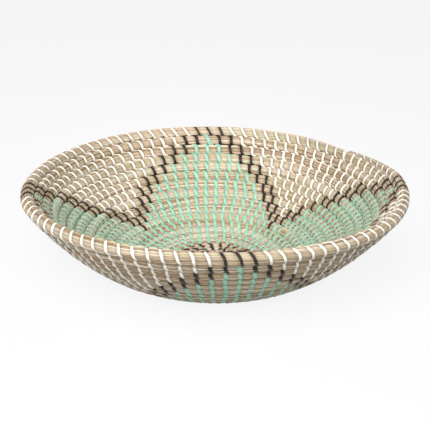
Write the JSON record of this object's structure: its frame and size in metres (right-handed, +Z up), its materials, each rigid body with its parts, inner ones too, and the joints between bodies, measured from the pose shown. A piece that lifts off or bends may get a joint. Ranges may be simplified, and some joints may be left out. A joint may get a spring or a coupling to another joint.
{
  "type": "coiled seagrass basket",
  "caption": "Shallow round basket bowl: one seagrass coil wound in a spiral, its rows bound with flat plastic strips that draw a pointed mint star edged in black on white.",
  "frame": {"origin": "on the bowl's axis, in the plane of the flat-worn ring that it stands on", "axes": "+Z up out of the bowl; +X, +Y, -X and -Y each run down the middle of one point of the star, and the coil's end dies out on the rim between +X and +Y"},
  "size_m": [0.4006, 0.3982, 0.1058],
  "materials": {
    "seagrass": "dry twisted plant fibre, matte",
    "white_strip": "flat strip, satin",
    "black_strip": "flat strip, satin",
    "mint_strip": "flat strip, satin"
  },
  "bodies": {
    "root": {"seagrass_coil": "seagrass", "rim_lashing_white_1": "white_strip", "rim_lashing_white_2": "white_strip", "rim_lashing_white_3": "white_strip", "rim_lashing_white_4": "white_strip", "rim_lashing_white_5": "white_strip", "rim_lashing_black_1": "black_strip", "rim_lashing_black_2": "black_strip", "rim_lashing_black_3": "black_strip", "rim_lashing_black_4": "black_strip", "star_stitches_white_1": "white_strip", "star_stitches_white_2": "white_strip", "star_stitches_white_3": "white_strip", "star_stitches_white_4": "white_strip", "star_stitches_black_1": "black_strip", "star_stitches_black_2": "black_strip", "star_stitches_black_3": "black_strip", "star_stitches_black_4": "black_strip", "star_stitches_mint_1": "mint_strip", "star_stitches_mint_2": "mint_strip", "star_stitches_mint_3": "mint_strip", "star_stitches_mint_4": "mint_strip", "star_stitches_mint_5": "mint_strip", "star_stitches_mint_6": "mint_strip", "star_stitches_mint_7": "mint_strip", "star_stitches_mint_8": "mint_strip", "rosette_stitches_black_1": "black_strip", "rosette_stitches_black_2": "black_strip", "rosette_stitches_black_3": "black_strip", "rosette_stitches_black_4": "black_strip", "rosette_stitches_black_5": "black_strip", "rosette_stitches_black_6": "black_strip", "rosette_stitches_black_7": "black_strip", "rosette_stitches_black_8": "black_strip"}
  },
  "joints": []
}
